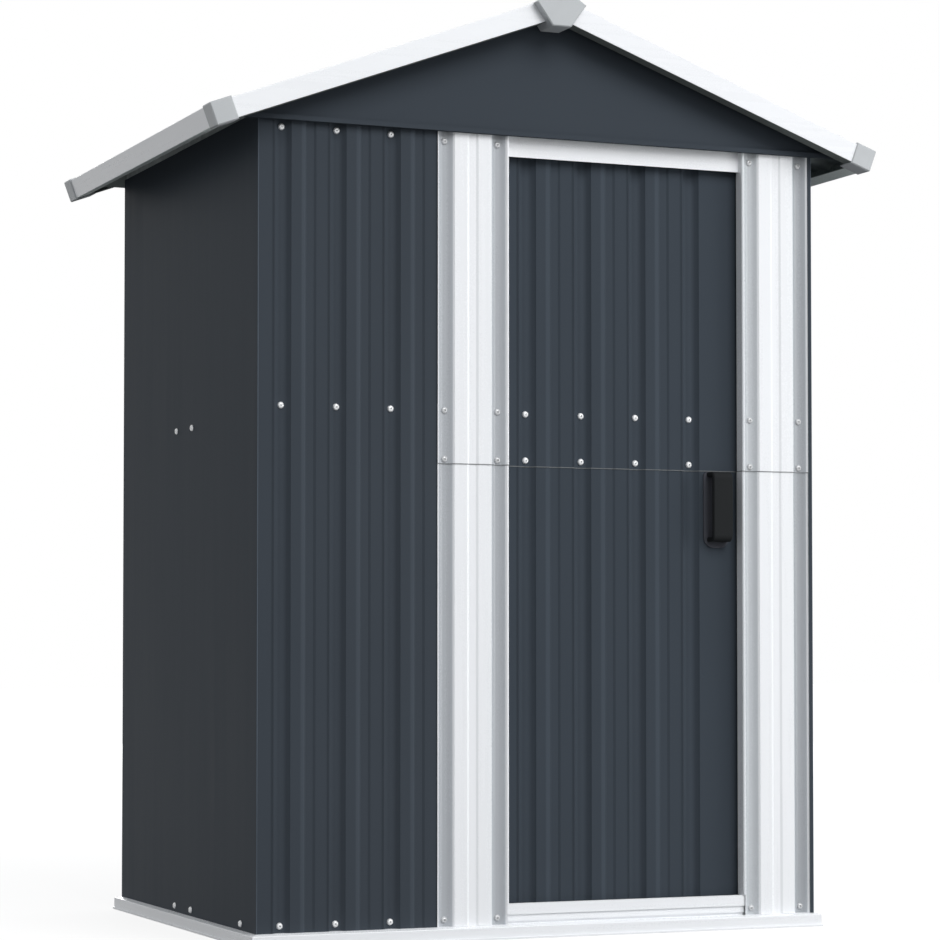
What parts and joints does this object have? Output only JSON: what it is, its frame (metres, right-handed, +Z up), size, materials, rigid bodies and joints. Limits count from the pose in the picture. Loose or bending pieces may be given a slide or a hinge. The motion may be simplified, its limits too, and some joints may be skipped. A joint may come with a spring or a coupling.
{
  "type": "metal storage shed",
  "caption": "Small steel garden shed: ribbed anthracite walls, gable roof with white edge trims, white door posts and a sliding door hung in a header track.",
  "frame": {"origin": "on the ground at the middle of the shed's outline", "axes": "+Z up, the doorway faces -Y, +X to the right as one faces the doorway"},
  "size_m": [1.3752, 1.036, 1.7896],
  "materials": {
    "anthracite_steel": "satin",
    "white_steel": "satin",
    "galvanised_steel": "matte",
    "grey_plastic": "matte",
    "black_plastic": "matte",
    "runner_plastic": "matte"
  },
  "bodies": {
    "shed": {"back_gable": "anthracite_steel", "back_wall_left": "anthracite_steel", "back_wall_right": "anthracite_steel", "base_rail_back": "white_steel", "base_rail_front": "white_steel", "base_rail_left": "white_steel", "base_rail_right": "white_steel", "corner_cap_back_left": "grey_plastic", "corner_cap_back_right": "grey_plastic", "corner_cap_front_left": "grey_plastic", "corner_cap_front_right": "grey_plastic", "door_bottom_track": "white_steel", "door_header_track": "white_steel", "door_post_left_lower": "white_steel", "door_post_left_upper": "white_steel", "door_post_right_lower": "white_steel", "door_post_right_upper": "white_steel", "door_sill": "white_steel", "eave_trim_left": "white_steel", "eave_trim_right": "white_steel", "front_gable": "anthracite_steel", "front_wall": "anthracite_steel", "gable_trim_back_left": "white_steel", "gable_trim_back_right": "white_steel", "gable_trim_front_left": "white_steel", "gable_trim_front_right": "white_steel", "left_wall_back": "anthracite_steel", "left_wall_front": "anthracite_steel", "mid_rail_back": "galvanised_steel", "mid_rail_front": "galvanised_steel", "mid_rail_left": "galvanised_steel", "mid_rail_right": "galvanised_steel", "ridge_beam": "galvanised_steel", "ridge_cap_back": "grey_plastic", "ridge_cap_front": "grey_plastic", "ridge_flashing": "anthracite_steel", "right_wall_back": "anthracite_steel", "right_wall_front": "anthracite_steel", "roof_sheet_left": "anthracite_steel", "roof_sheet_right": "anthracite_steel", "top_rail_back": "galvanised_steel", "top_rail_left": "galvanised_steel", "top_rail_right": "galvanised_steel"},
    "door": {"door_bottom_rail": "galvanised_steel", "door_glide_left": "runner_plastic", "door_glide_right": "runner_plastic", "door_mid_rail": "galvanised_steel", "door_sheet_lower": "anthracite_steel", "door_sheet_upper": "anthracite_steel", "door_shoe_left": "runner_plastic", "door_shoe_right": "runner_plastic", "door_stile_left": "galvanised_steel", "door_stile_right": "galvanised_steel", "door_top_rail": "galvanised_steel", "handle_grip": "black_plastic", "handle_plate": "black_plastic"}
  },
  "joints": [
    {"name": "door_slide", "type": "slide", "parent": "shed", "child": "door", "axis": [-1, 0, 0], "range_m": [0, 0.42]}
  ]
}
